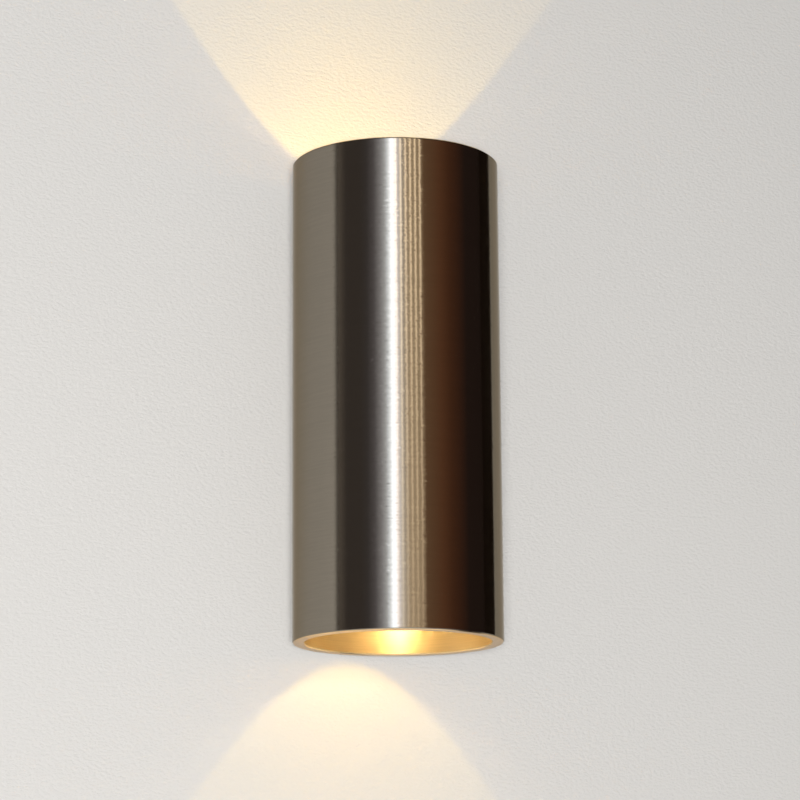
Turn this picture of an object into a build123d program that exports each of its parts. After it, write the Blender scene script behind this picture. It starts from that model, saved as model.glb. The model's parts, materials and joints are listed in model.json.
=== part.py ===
"""Tube wall light: a round metal tube, open at both ends, with a lamp shining up and a lamp shining down.

Millimetres. The wall is the plane Y = 0 and the light stands off it towards -Y. +Z is up and +X is to the
right as seen from the room. The origin is the middle of the wall plate's back face.
"""

import os
from math import atan, degrees, pi, sqrt

from build123d import *

# ---------------------------------------------------------------- driving dimensions

# Housing tube
tube_od = 77.0
tube_wall = 4.5
tube_height = 180.0
tube_edge = 0.5  # chamfer on both rims, inside and outside
wall_gap = 6.0  # from the wall to the back of the tube

# Window in the back of the tube, for the terminal block and the wiring
window_width = 28.0
window_bottom = -46.0
window_top = 8.0
window_corner = 3.0

# Rear base, a saddle between the tube and the wall
base_width = 40.0
base_height = 120.0
base_lip = 11.0  # from the wall to the front edges of the saddle
base_corner = 8.0
base_edge = 0.6
base_side_wall = 4.0
base_floor = 3.0  # thickness of the saddle's floor on its centre line
saddle_gap = 0.05  # paint film between the saddle and the tube

# Wall plate, a channel that the base fits over
plate_height = 86.0
plate_sheet = 1.5
plate_flange = 6.7
plate_bend = 2.0  # outside radius of its two bends
plate_gap = 0.3  # between the plate's flanges and the base's pocket
slot_margin = 2.5  # from a slot's end to the end of the plate
slot_length = 9.0
slot_width = 4.5
slot_access = 10.0  # width of the clearance in the base for a wall screw's head
gasket_sheet = 1.0
gasket_margin = 0.5

# Cable bush in the wall plate
bush_bore = 9.0
bush_sleeve = 1.5
bush_flange = 15.0
bush_lip = 1.0
bush_round = 0.3

# Terminal block, three poles side by side
pole_count = 3
pole_pitch = 8.0
block_height = 16.0
block_depth = 12.0
block_top = -14.0
block_edge = 0.6
pole_depth = 6.0  # from the wall plate's front to the poles' axes
pole_bore = 4.4
pole_groove = 1.6
pole_groove_depth = 4.0
tube_brass_od = 4.3
tube_brass_id = 2.9
tube_brass_length = 11.0
clamp_screw_d = 2.5
clamp_screw_head = 2.8
clamp_screw_spacing = 7.0
clamp_screw_slot = 0.6
clamp_screw_slot_depth = 1.5
peg_d = 3.0
peg_length = 1.3

# Lamp bracket, a shelf with a foot up the back of the tube
bracket_sheet = 1.5
shelf_width = 34.0
shelf_front = 10.0  # in front of the tube's axis
shelf_back = 12.0  # behind the tube's axis
foot_width = 13.0
foot_top = 58.0
bracket_bend = 2.0
bracket_corner = 3.0

# Screws that hold the bracket, the tube and the base together
base_screw_d = 4.0
base_screw_head = 8.0
base_screw_head_depth = 2.3
base_screw_ends = 52.0  # height of the top and bottom ones above and below the middle
base_screw_mid = 18.0
base_screw_key = 2.5
base_screw_key_depth = 1.6
nut_flats = 7.0
nut_height = 3.2
screw_stand_out = 1.0  # thread showing past a nut

# Grub screws in the base's sides
grub_d = 4.0
grub_length = 4.0
grub_height = 30.0
grub_key = 2.0
grub_key_depth = 2.0

# Lamp holders, one on each face of the shelf
holder_length = 31.0
holder_width = 18.0
holder_corner = 3.0
holder_edge = 0.5
holder_back_sheet = 2.5
holder_body_height = 12.5
holder_lip = 3.0
holder_screw_d = 3.0
holder_screw_spacing = 24.0
holder_screw_head = 5.5
holder_screw_head_height = 2.5
holder_screw_slot = 0.9  # width of the screwdriver slot
holder_screw_slot_depth = 1.2
holder_recess_d = 6.6
holder_recess_depth = 3.0
holder_nut_flats = 5.5
holder_nut_height = 2.4

# Lamp pins and the curved slots that lock them
pin_spacing = 10.0
pin_neck_d = 3.0
pin_head_d = 5.0
pin_head_height = 3.0
pin_play = 0.3  # running clearance round the pins
pin_lip_gap = 0.2  # between the pins' heads and the lip they lock behind
pin_rivet = 1.0  # how much wider the rivet inside the cap is than the neck
pin_rivet_height = 0.75
cavity_depth = 4.75  # below the lip
twist_angle = 30.0

# Contacts in the holders
contact_sheet = 0.8
contact_width = 4.8
contact_reach = 5.4
barrel_d = 2.8
barrel_x = 9.0
barrel_height = 4.25  # above the shelf's face
barrel_front = 3.0
barrel_back = 8.0
barrel_weld = 1.0  # how far the contact's tongue runs along the barrel

# Lamps
lamp_gap = 0.3  # between a lamp's cap and its holder
lamp_clearance = 9.0  # from the lamp's rim to the tube's bore, room for the screws' ends
lamp_length = 45.5  # cap face to rim
lamp_rim_height = 9.5
lamp_neck_d = 26.4
lamp_neck_height = 5.0
lamp_taper_height = 28.0
lamp_rim_step = 1.0  # how far the rim stands out over the top of the taper
lamp_shell = 1.5
lamp_cap_d = 23.2
lamp_cap_height = 9.0
lamp_cap_wall = 1.5
lamp_fit = 0.1
light_board_d = 30.0
light_board_sheet = 1.6
light_board_height = 26.0
light_source_d = 7.0
light_source_height = 0.8
lens_sheet = 2.0
lens_recess = 0.5
lens_cone_gap = 3.0  # from the front of the lens's cone to the lamp's shell
lens_cone_back_d = 12.0
driver_width = 15.0
driver_height = 15.0
driver_sheet = 1.2
driver_coil_d = 8.0
driver_coil_length = 7.0
driver_coil_seat = 0.5  # how deep the coil sits in its board

# Internal wires
wire_d = 1.8
wire_pair_gap = 0.1
upper_wire_lead = 10.0  # in front of the terminal block's poles, where the upper lamp's wires run down
lower_wire_lead = 14.0
earth_wire_lead = 9.5
upper_wire_dip = 6.5  # lowest point of the upper lamp's wires, below the terminal block
lower_wire_dip = 11.0
earth_wire_dip = 8.5
upper_wire_bend = 6.0  # radius of each wire's first bend
lower_wire_bend = 5.0
earth_wire_bend = 3.0
return_straight = 0.5  # straight stretch between the two bends under the terminal block

# Earth connection on the shelf's neck
earth_screw_lead = 20.0  # in front of the terminal block's poles
earth_ring_d = 8.0
earth_ring_sheet = 0.8
earth_barrel_d = 3.0
earth_barrel_start = 3.5  # behind the earth screw
earth_barrel_length = 3.5
earth_tongue_overlap = 1.0
earth_head_d = 7.0
earth_head_height = 2.6
earth_head_round = 0.9
earth_cross_length = 4.2
earth_cross_width = 0.9
earth_cross_depth = 1.3

# Clearances shared by the screws
screw_play = 0.1  # between a screw's thread and the hole it screws into, on the diameter
hole_play = 0.5  # between a screw and a clearance hole, on the diameter

# ---------------------------------------------------------------- sizes that follow

tube_r = tube_od / 2
bore_r = tube_r - tube_wall
axis_y = -(wall_gap + tube_r)

bush_d = bush_bore + 2 * bush_sleeve
base_back = gasket_sheet
base_front = wall_gap
pocket_width = base_width - 2 * base_side_wall
pocket_height = plate_height + 2 * plate_gap
pocket_floor = base_front - base_floor
plate_width = pocket_width - 2 * plate_gap
slot_spacing = plate_height - slot_length - 2 * slot_margin
flange_groove = plate_sheet + 2 * plate_gap
flange_groove_end = plate_flange + plate_gap

block_width = pole_count * pole_pitch
block_middle = block_top - block_height / 2
block_bottom = block_top - block_height
pole_y = -(plate_sheet + pole_depth)
pole_x = [(i - (pole_count - 1) / 2) * pole_pitch for i in range(pole_count)]
peg_x = pole_pitch / 2

base_screw_z = [-base_screw_ends, base_screw_mid, base_screw_ends]

shelf_face = bracket_sheet / 2
holder_back_top = shelf_face + holder_back_sheet
holder_top = holder_back_top + holder_body_height
lip_bottom = holder_top - holder_lip
lamp_seat = holder_top + lamp_gap
pin_top = lip_bottom - pin_lip_gap
pin_end = pin_top - pin_head_height
cavity_floor = lip_bottom - cavity_depth
contact_top = pin_end - pin_play
holder_screw_x = holder_screw_spacing / 2
pin_r = pin_spacing / 2
head_taper = degrees(atan((base_screw_head - base_screw_d) / 2 / base_screw_head_depth))


def chord_depth(radius, half_width):
    """Distance from a circle's centre to a chord of that half width."""
    return sqrt(radius**2 - half_width**2)


foot_back = chord_depth(bore_r, foot_width / 2) - saddle_gap
foot_front = foot_back - bracket_sheet
plain_nut_back = chord_depth(bore_r, nut_flats / sqrt(3)) - saddle_gap
earth_y = pole_y - earth_screw_lead

# Each lamp stands on its own seat: local Z runs out of the tube, local Y towards the wall.
seats = {
    "upper": Plane(origin=(0, axis_y, 0), x_dir=(1, 0, 0), z_dir=(0, 0, 1)),
    "lower": Plane(origin=(0, axis_y, 0), x_dir=(-1, 0, 0), z_dir=(0, 0, -1)),
}

os.makedirs("parts", exist_ok=True)


def save(builder, name):
    builder.part.label = name
    export_step(builder.part, f"parts/{name}.step")


def side_plane(seat):
    """The plane through a seat's axis that holds a turned piece's half profile."""
    return Plane(origin=seat.origin, x_dir=seat.x_dir, z_dir=-seat.y_dir)


def seat_axis(seat):
    return Axis(seat.origin, seat.z_dir)


# ---------------------------------------------------------------- housing tube

with BuildPart() as housing_tube:
    with BuildSketch(Plane.XY.offset(-tube_height / 2)):
        with Locations((0, axis_y)):
            Circle(tube_r)
            Circle(bore_r, mode=Mode.SUBTRACT)
    extrude(amount=tube_height)
    rims = housing_tube.edges().filter_by(GeomType.CIRCLE)
    chamfer(rims, length=tube_edge)
    with BuildSketch(Plane.XZ):
        with Locations((0, (window_top + window_bottom) / 2)):
            RectangleRounded(window_width, window_top - window_bottom, window_corner)
        with Locations(*[(0, z) for z in base_screw_z]):
            Circle((base_screw_d + hole_play) / 2)
    extrude(amount=-axis_y, mode=Mode.SUBTRACT)
save(housing_tube, "housing_tube")

# ---------------------------------------------------------------- rear base

with BuildPart() as rear_base:
    with BuildSketch(Plane.XZ.offset(base_back)):
        RectangleRounded(base_width, base_height, base_corner)
    extrude(amount=base_lip - base_back)
    chamfer(rear_base.faces().sort_by(Axis.Y)[0].edges(), length=base_edge)
    with BuildSketch(Plane.XY.offset(-base_height / 2)):
        with Locations((0, axis_y)):
            Circle(tube_r + saddle_gap)
    extrude(amount=base_height, mode=Mode.SUBTRACT)
    # Pocket for the wall plate
    with BuildSketch(Plane.XZ.offset(base_back)):
        Rectangle(pocket_width, pocket_height)
    extrude(amount=pocket_floor - base_back, mode=Mode.SUBTRACT)
    # Deeper grooves for the plate's two flanges
    with BuildSketch(Plane.XZ.offset(base_back)):
        with Locations(*[(side * (pocket_width - flange_groove) / 2, 0) for side in (-1, 1)]):
            Rectangle(flange_groove, pocket_height)
    extrude(amount=flange_groove_end - base_back, mode=Mode.SUBTRACT)
    # Opening for the terminal block, the cable and the wiring, from the pocket's lower end up
    with BuildSketch(Plane.XZ.offset(base_back)):
        with Locations((0, (window_top - pocket_height / 2) / 2)):
            Rectangle(pocket_width, window_top + pocket_height / 2)
        with Locations((0, slot_spacing / 2)):
            SlotOverall(slot_length + slot_access - slot_width, slot_access, rotation=90)
    extrude(amount=base_lip, mode=Mode.SUBTRACT)
    # Countersunk holes for the three base screws
    for screw_z in base_screw_z:
        head_plane = pocket_floor if abs(screw_z) < pocket_height / 2 else base_back
        with Locations(Plane(origin=(0, -head_plane, screw_z), z_dir=(0, 1, 0))):
            CounterSinkHole(
                radius=(base_screw_d + hole_play) / 2,
                counter_sink_radius=(base_screw_head + hole_play) / 2,
                depth=base_lip,
            )
    # Tapped holes for the grub screws
    grub_y = -(plate_sheet + plate_flange) / 2
    with BuildSketch(Plane.YZ.offset(-base_width / 2)):
        with Locations((grub_y, grub_height), (grub_y, -grub_height)):
            Circle((grub_d + screw_play) / 2)
    extrude(amount=base_width, mode=Mode.SUBTRACT)
save(rear_base, "rear_base")

# ---------------------------------------------------------------- wall gasket

with BuildPart() as wall_gasket:
    with BuildSketch(Plane.XZ):
        RectangleRounded(
            base_width - 2 * gasket_margin, base_height - 2 * gasket_margin, base_corner - gasket_margin
        )
        Rectangle(pocket_width, pocket_height, mode=Mode.SUBTRACT)
    extrude(amount=gasket_sheet)
save(wall_gasket, "wall_gasket")

# ---------------------------------------------------------------- wall plate

with BuildPart() as wall_plate:
    with BuildSketch(Plane.XY.offset(-plate_height / 2)):
        with Locations((0, -plate_flange / 2)):
            Rectangle(plate_width, plate_flange)
        with Locations((0, -(plate_flange + plate_sheet) / 2)):
            Rectangle(plate_width - 2 * plate_sheet, plate_flange - plate_sheet, mode=Mode.SUBTRACT)
    extrude(amount=plate_height)
    bends = wall_plate.edges().filter_by(Axis.Z).group_by(Axis.Y)
    fillet(bends[-1], radius=plate_bend)
    fillet(bends[-2], radius=plate_bend - plate_sheet)
    with BuildSketch(Plane.XZ):
        with Locations((0, slot_spacing / 2), (0, -slot_spacing / 2)):
            SlotOverall(slot_length, slot_width, rotation=90)
        Circle(bush_d / 2)
        with Locations((peg_x, block_middle), (-peg_x, block_middle)):
            Circle((peg_d + screw_play) / 2)
    extrude(amount=plate_sheet, mode=Mode.SUBTRACT)
save(wall_plate, "wall_plate")

# ---------------------------------------------------------------- cable bush

with BuildPart() as cable_bush:
    with BuildSketch(Plane.XZ):
        Circle((bush_d - screw_play) / 2)
    extrude(amount=plate_sheet)
    with BuildSketch(Plane.XZ.offset(plate_sheet)):
        Circle(bush_flange / 2)
    extrude(amount=bush_lip)
    fillet(cable_bush.edges().sort_by(Axis.Y)[0], radius=bush_round)
    with BuildSketch(Plane.XZ):
        Circle(bush_bore / 2)
    extrude(amount=plate_sheet + bush_lip, mode=Mode.SUBTRACT)
save(cable_bush, "cable_bush")

# ---------------------------------------------------------------- base screws and nuts

# Where each nut seats: the middle and top ones on the bracket's foot, the bottom one on the tube
nut_seat_back = {z: foot_front if z > 0 else plain_nut_back for z in base_screw_z}

with BuildPart() as base_screws:
    for screw_z in base_screw_z:
        head_plane = pocket_floor if abs(screw_z) < pocket_height / 2 else base_back
        screw_end = -(axis_y + nut_seat_back[screw_z]) + nut_height + screw_stand_out
        with BuildSketch(Plane.XZ.offset(head_plane) * Location((0, screw_z, 0))):
            Circle(base_screw_head / 2)
        extrude(amount=base_screw_head_depth, taper=head_taper)
        with BuildSketch(Plane.XZ.offset(head_plane) * Location((0, screw_z, 0))):
            Circle(base_screw_d / 2)
        extrude(amount=screw_end - head_plane)
        with BuildSketch(Plane.XZ.offset(head_plane) * Location((0, screw_z, 0))):
            RegularPolygon(base_screw_key / 2, 6, major_radius=False)
        extrude(amount=base_screw_key_depth, mode=Mode.SUBTRACT)
save(base_screws, "base_screws")

with BuildPart() as base_nuts:
    for screw_z in base_screw_z:
        seat_y = -(axis_y + nut_seat_back[screw_z])
        with BuildSketch(Plane.XZ.offset(seat_y) * Location((0, screw_z, 0))):
            RegularPolygon(nut_flats / 2, 6, major_radius=False)
            Circle((base_screw_d + screw_play) / 2, mode=Mode.SUBTRACT)
        extrude(amount=nut_height)
save(base_nuts, "base_nuts")

# ---------------------------------------------------------------- grub screws

grub_tip = plate_width / 2 + screw_play / 2
grub_end = grub_tip + grub_length

with BuildPart() as grub_screws:
    for side in (-1, 1):
        for grub_z in (-grub_height, grub_height):
            tip = Plane(origin=(side * grub_tip, grub_y, grub_z), z_dir=(side, 0, 0))
            with BuildSketch(tip):
                Circle(grub_d / 2)
            extrude(amount=grub_length)
            with BuildSketch(tip.offset(grub_length)):
                RegularPolygon(grub_key / 2, 6, major_radius=False)
            extrude(amount=-grub_key_depth, mode=Mode.SUBTRACT)
save(grub_screws, "grub_screws")

# ---------------------------------------------------------------- terminal block

with BuildPart() as terminal_block:
    with BuildSketch(Plane.XZ.offset(plate_sheet)):
        with Locations((0, block_middle)):
            Rectangle(block_width, block_height)
    extrude(amount=block_depth)
    chamfer(terminal_block.faces().sort_by(Axis.Y)[0].edges(), length=block_edge)
    # Grooves between the poles
    with BuildSketch(Plane.XZ.offset(plate_sheet + block_depth - pole_groove_depth)):
        with Locations((-pole_pitch / 2, block_middle), (pole_pitch / 2, block_middle)):
            Rectangle(pole_groove, block_height)
    extrude(amount=pole_groove_depth, mode=Mode.SUBTRACT)
    # Wire bores, top to bottom
    with BuildSketch(Plane.XY.offset(block_bottom)):
        with Locations(*[(x, pole_y) for x in pole_x]):
            Circle(pole_bore / 2)
    extrude(amount=block_height, mode=Mode.SUBTRACT)
    # Screw holes from the front into the bores
    with BuildSketch(Plane.XZ.offset(-pole_y)):
        for z_step in (-0.5, 0.5):
            with Locations(*[(x, block_middle + z_step * clamp_screw_spacing) for x in pole_x]):
                Circle((clamp_screw_head + 2 * screw_play) / 2)
    extrude(amount=block_depth, mode=Mode.SUBTRACT)
    # Pegs that snap into the wall plate
    with BuildSketch(Plane.XZ.offset(plate_sheet)):
        with Locations((peg_x, block_middle), (-peg_x, block_middle)):
            Circle(peg_d / 2)
    extrude(amount=-peg_length)
save(terminal_block, "terminal_block")

with BuildPart() as terminal_tubes:
    with BuildSketch(Plane.XY.offset(block_middle - tube_brass_length / 2)):
        with Locations(*[(x, pole_y) for x in pole_x]):
            Circle(tube_brass_od / 2)
            Circle(tube_brass_id / 2, mode=Mode.SUBTRACT)
    extrude(amount=tube_brass_length)
    with BuildSketch(Plane.XZ.offset(-pole_y)):
        for z_step in (-0.5, 0.5):
            with Locations(*[(x, block_middle + z_step * clamp_screw_spacing) for x in pole_x]):
                Circle((clamp_screw_d + screw_play) / 2)
    extrude(amount=tube_brass_od, mode=Mode.SUBTRACT)
save(terminal_tubes, "terminal_tubes")

clamp_screw_top = plate_sheet + block_depth - block_edge
clamp_head_height = clamp_screw_top + pole_y - tube_brass_od / 2 - screw_play

with BuildPart() as terminal_screws:
    for x in pole_x:
        for z_step in (-0.5, 0.5):
            place = Location((x, block_middle + z_step * clamp_screw_spacing, 0))
            with BuildSketch(Plane.XZ.offset(clamp_screw_top) * place):
                Circle(clamp_screw_head / 2)
            extrude(amount=-clamp_head_height)
            with BuildSketch(Plane.XZ.offset(clamp_screw_top) * place):
                Circle(clamp_screw_d / 2)
            extrude(amount=-(clamp_screw_top + pole_y))
            with BuildSketch(Plane.XZ.offset(clamp_screw_top) * place):
                Rectangle(clamp_screw_head + clamp_screw_slot, clamp_screw_slot)
            extrude(amount=-clamp_screw_slot_depth, mode=Mode.SUBTRACT)
save(terminal_screws, "terminal_screws")

# ---------------------------------------------------------------- lamp bracket

with BuildPart() as lamp_bracket:
    with BuildSketch(Plane.XY.offset(-shelf_face)):
        with Locations((0, axis_y + (shelf_back - shelf_front) / 2)):
            RectangleRounded(shelf_width, shelf_front + shelf_back, bracket_corner)
        with Locations((0, axis_y + foot_back / 2)):
            Rectangle(foot_width, foot_back)
    extrude(amount=bracket_sheet)
    with BuildSketch(Plane.XZ.offset(-(axis_y + foot_back))):
        with Locations((0, (foot_top - shelf_face) / 2)):
            Rectangle(foot_width, foot_top + shelf_face)
    extrude(amount=bracket_sheet)
    bend_edges = lamp_bracket.edges().filter_by(Axis.X)
    fillet(bend_edges.group_by(Axis.Y)[-1].sort_by(Axis.Z)[0], radius=bracket_bend)
    top_corners = lamp_bracket.edges().filter_by(Axis.Y).group_by(Axis.Z)[-1]
    fillet(top_corners, radius=bracket_corner)
    with BuildSketch(Plane.XY.offset(-shelf_face)):
        with Locations((holder_screw_x, axis_y), (-holder_screw_x, axis_y)):
            Circle((holder_screw_d + hole_play) / 2)
        with Locations((0, earth_y)):
            Circle((base_screw_d + screw_play) / 2)
    extrude(amount=bracket_sheet, mode=Mode.SUBTRACT)
    with BuildSketch(Plane.XZ.offset(-(axis_y + foot_back))):
        with Locations(*[(0, z) for z in base_screw_z if z > 0]):
            Circle((base_screw_d + hole_play) / 2)
    extrude(amount=bracket_sheet, mode=Mode.SUBTRACT)
save(lamp_bracket, "lamp_bracket")

# ---------------------------------------------------------------- lamp holders

pin_arcs = [CenterArc((0, 0), pin_r, start, twist_angle) for start in (0, 180)]
channel_width = barrel_d + 2 * pin_play
channel_half = channel_width / 2
riser_in = barrel_x - channel_half + pin_play
leaf_in = pin_r - contact_width / 2
pocket_in = leaf_in - pin_play
pocket_out = riser_in + contact_sheet + pin_play
pocket_side = contact_reach / 2 + pin_play

for end, seat in seats.items():
    with BuildPart() as holder_back:
        with BuildSketch(seat.offset(shelf_face)):
            RectangleRounded(holder_length, holder_width, holder_corner)
            with Locations((holder_screw_x, 0), (-holder_screw_x, 0)):
                Circle((holder_screw_d + hole_play) / 2, mode=Mode.SUBTRACT)
        extrude(amount=holder_back_sheet)
    save(holder_back, f"{end}_holder_back")

    with BuildPart() as holder_body:
        with BuildSketch(seat.offset(holder_back_top)):
            RectangleRounded(holder_length, holder_width, holder_corner)
        extrude(amount=holder_body_height)
        top = holder_body.faces().filter_by(Plane.XY).sort_by(seat_axis(seat))[-1]
        chamfer(top.edges(), length=holder_edge)
        # Narrow curved slots through the lip, and round entries at their unlocked ends
        with BuildSketch(seat.offset(lip_bottom)):
            for arc in pin_arcs:
                SlotArc(arc, pin_neck_d + 2 * pin_play)
            with PolarLocations(pin_r, 2, start_angle=twist_angle):
                Circle(pin_head_d / 2 + pin_play)
        extrude(amount=holder_lip, mode=Mode.SUBTRACT)
        # Wider cavities below the lip, where the pins' heads travel
        with BuildSketch(seat.offset(cavity_floor)):
            for arc in pin_arcs:
                SlotArc(arc, pin_head_d + 2 * pin_play)
        extrude(amount=lip_bottom - cavity_floor, mode=Mode.SUBTRACT)
        # Pockets for the contacts, and channels for their wires out of the back
        with BuildSketch(seat.offset(holder_back_top)):
            with Locations(*[(side * (pocket_in + pocket_out) / 2, 0) for side in (-1, 1)]):
                Rectangle(pocket_out - pocket_in, 2 * pocket_side)
        extrude(amount=contact_top + pin_play - holder_back_top, mode=Mode.SUBTRACT)
        with BuildSketch(seat.offset(holder_back_top)):
            channel_length = holder_width / 2 - pocket_side / 2
            with Locations(*[(s * barrel_x, (holder_width - channel_length) / 2) for s in (-1, 1)]):
                Rectangle(channel_width, channel_length)
        extrude(amount=channel_width, mode=Mode.SUBTRACT)
        # Screw holes, with a recess for a screw's head or its nut
        with BuildSketch(seat.offset(holder_back_top)):
            with Locations((holder_screw_x, 0), (-holder_screw_x, 0)):
                Circle((holder_screw_d + hole_play) / 2)
        extrude(amount=holder_body_height, mode=Mode.SUBTRACT)
        with BuildSketch(seat.offset(holder_top)):
            with Locations((holder_screw_x, 0), (-holder_screw_x, 0)):
                Circle(holder_recess_d / 2)
        extrude(amount=-holder_recess_depth, mode=Mode.SUBTRACT)
    save(holder_body, f"{end}_holder_body")

    # Each contact: a leaf under its pin, a riser that stands on the back plate, and a crimp barrel
    with BuildPart() as holder_contacts:
        for side in (-1, 1):
            with BuildSketch(seat.offset(contact_top)):
                with Locations((side * (leaf_in + riser_in + contact_sheet) / 2, 0)):
                    Rectangle(riser_in + contact_sheet - leaf_in, contact_reach)
            extrude(amount=-contact_sheet)
            with BuildSketch(seat.offset(contact_top)):
                with Locations((side * (riser_in + contact_sheet / 2), 0)):
                    Rectangle(contact_sheet, contact_reach)
            extrude(amount=holder_back_top - contact_top)
            barrel_plane = Plane(
                origin=seat.from_local_coords((side * barrel_x, 0, shelf_face + barrel_height)),
                x_dir=seat.x_dir,
                z_dir=seat.y_dir,
            )
            with BuildSketch(barrel_plane.offset(barrel_front)):
                Circle(barrel_d / 2)
            extrude(amount=barrel_back - barrel_front)
            # Tongue between the riser and the barrel
            tongue_start = contact_reach / 2 - contact_sheet
            tongue_end = barrel_front + barrel_weld
            with BuildSketch(seat.offset(shelf_face + barrel_height - contact_sheet / 2)):
                with Locations((side * (riser_in + barrel_x) / 2, (tongue_start + tongue_end) / 2)):
                    Rectangle(barrel_x - riser_in, tongue_end - tongue_start)
            extrude(amount=contact_sheet)
    save(holder_contacts, f"{end}_holder_contacts")

screw_head_seat = holder_top - holder_recess_depth

with BuildPart() as holder_screws:
    shank_length = 2 * screw_head_seat + holder_nut_height
    for x in (-holder_screw_x, holder_screw_x):
        with BuildSketch(Plane.XY.offset(screw_head_seat) * Location((x, axis_y, 0))):
            Circle(holder_screw_head / 2)
        extrude(amount=holder_screw_head_height)
        with BuildSketch(Plane.XY.offset(screw_head_seat) * Location((x, axis_y, 0))):
            Circle(holder_screw_d / 2)
        extrude(amount=-shank_length)
        top_of_head = screw_head_seat + holder_screw_head_height
        with BuildSketch(Plane.XY.offset(top_of_head) * Location((x, axis_y, 0))):
            Rectangle(holder_screw_head + holder_screw_slot, holder_screw_slot)
        extrude(amount=-holder_screw_slot_depth, mode=Mode.SUBTRACT)
save(holder_screws, "holder_screws")

with BuildPart() as holder_nuts:
    for x in (-holder_screw_x, holder_screw_x):
        with BuildSketch(Plane.XY.offset(-screw_head_seat) * Location((x, axis_y, 0))):
            RegularPolygon(holder_nut_flats / 2, 6, major_radius=False)
            Circle((holder_screw_d + screw_play) / 2, mode=Mode.SUBTRACT)
        extrude(amount=-holder_nut_height)
save(holder_nuts, "holder_nuts")

# ---------------------------------------------------------------- lamps

lamp_r = bore_r - lamp_clearance
taper_r = lamp_r - lamp_rim_step
neck_top = lamp_seat + lamp_neck_height
taper_top = neck_top + lamp_taper_height
lamp_top = lamp_seat + lamp_length
rim_bottom = lamp_top - lamp_rim_height
board_seat = lamp_seat + light_board_height
board_top = board_seat + light_board_sheet
lens_bottom = lamp_top - lens_recess - lens_sheet
cap_top = lamp_seat + lamp_cap_height
cap_bore = lamp_cap_d / 2 - lamp_cap_wall

# Inside line of the lamp's tapered body at the height of the light board
taper_rate = (taper_r - lamp_neck_d / 2) / lamp_taper_height
shell_in_neck = lamp_cap_d / 2 + lamp_fit
shell_in_board = lamp_neck_d / 2 + (board_seat - neck_top) * taper_rate - lamp_shell
shell_in_rim = lamp_r - lamp_shell
shell_in_lens = shell_in_rim - lamp_shell

for end, seat in seats.items():
    profile_plane = side_plane(seat)

    with BuildPart() as lamp_body:
        with BuildSketch(profile_plane):
            with BuildLine():
                Polyline(
                    (shell_in_neck, lamp_seat + lamp_shell),
                    (lamp_neck_d / 2, lamp_seat + lamp_shell),
                    (lamp_neck_d / 2, neck_top),
                    (taper_r, taper_top),
                    (lamp_r, rim_bottom),
                    (lamp_r, lamp_top),
                    (shell_in_rim, lamp_top),
                    (shell_in_rim, lens_bottom),
                    (shell_in_lens, lens_bottom),
                    (shell_in_board, board_top),
                    (shell_in_board, board_seat),
                    (light_board_d / 2 - lamp_shell, board_seat),
                    (light_board_d / 2 - lamp_shell, board_seat - lamp_shell),
                    (shell_in_neck, cap_top),
                    close=True,
                )
            make_face()
        revolve(axis=seat_axis(seat))
    save(lamp_body, f"{end}_lamp_body")

    with BuildPart() as lamp_cap:
        with BuildSketch(seat.offset(lamp_seat)):
            Circle(lamp_cap_d / 2)
        extrude(amount=lamp_cap_height)
        with BuildSketch(seat.offset(lamp_seat + lamp_cap_wall)):
            Circle(cap_bore)
        extrude(amount=lamp_cap_height, mode=Mode.SUBTRACT)
        with BuildSketch(seat.offset(lamp_seat)):
            with Locations((pin_r, 0), (-pin_r, 0)):
                Circle((pin_neck_d + screw_play) / 2)
        extrude(amount=lamp_cap_wall, mode=Mode.SUBTRACT)
    save(lamp_cap, f"{end}_lamp_cap")

    # Each pin: a neck through the cap, a head that locks behind the holder's lip, a rivet inside the cap
    with BuildPart() as lamp_pins:
        for x in (-pin_r, pin_r):
            with BuildSketch(seat.offset(pin_top) * Location((x, 0, 0))):
                Circle(pin_head_d / 2)
            extrude(amount=-pin_head_height)
            with BuildSketch(seat.offset(pin_top) * Location((x, 0, 0))):
                Circle(pin_neck_d / 2)
            extrude(amount=lamp_seat + lamp_cap_wall - pin_top)
            with BuildSketch(seat.offset(lamp_seat + lamp_cap_wall) * Location((x, 0, 0))):
                Circle((pin_neck_d + pin_rivet) / 2)
            extrude(amount=pin_rivet_height)
    save(lamp_pins, f"{end}_lamp_pins")

    driver_seat = lamp_seat + lamp_cap_wall + pin_rivet_height
    with BuildPart() as lamp_driver:
        with BuildSketch(seat.offset(driver_seat)):
            Rectangle(driver_width, driver_sheet)
        extrude(amount=driver_height)
        coil_start = driver_seat + driver_height - driver_coil_length
        with BuildSketch(seat.offset(coil_start)):
            with Locations((0, (driver_sheet + driver_coil_d) / 2 - driver_coil_seat)):
                Circle(driver_coil_d / 2)
        extrude(amount=driver_coil_length)
    save(lamp_driver, f"{end}_lamp_driver")

    with BuildPart() as light_board:
        with BuildSketch(seat.offset(board_seat)):
            Circle(light_board_d / 2)
        extrude(amount=light_board_sheet)
        with BuildSketch(seat.offset(board_top)):
            Circle(light_source_d / 2)
        extrude(amount=light_source_height)
    save(light_board, f"{end}_light_board")

    # Front lens: a flat disc with a solid collecting cone behind it
    source_top = board_top + light_source_height
    with BuildPart() as lamp_lens:
        with BuildSketch(profile_plane):
            with BuildLine():
                Polyline(
                    (0, source_top + lamp_gap),
                    (lens_cone_back_d / 2, source_top + lamp_gap),
                    (shell_in_lens - lens_cone_gap, lens_bottom),
                    (shell_in_rim - lamp_fit, lens_bottom),
                    (shell_in_rim - lamp_fit, lens_bottom + lens_sheet),
                    (0, lens_bottom + lens_sheet),
                    close=True,
                )
            make_face()
        revolve(axis=seat_axis(seat))
    save(lamp_lens, f"{end}_lamp_lens")

# ---------------------------------------------------------------- earth connection

shelf_under = -shelf_face
earth_level = shelf_under - earth_barrel_d / 2
barrel_start_y = earth_y + earth_barrel_start
barrel_end_y = barrel_start_y + earth_barrel_length

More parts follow.
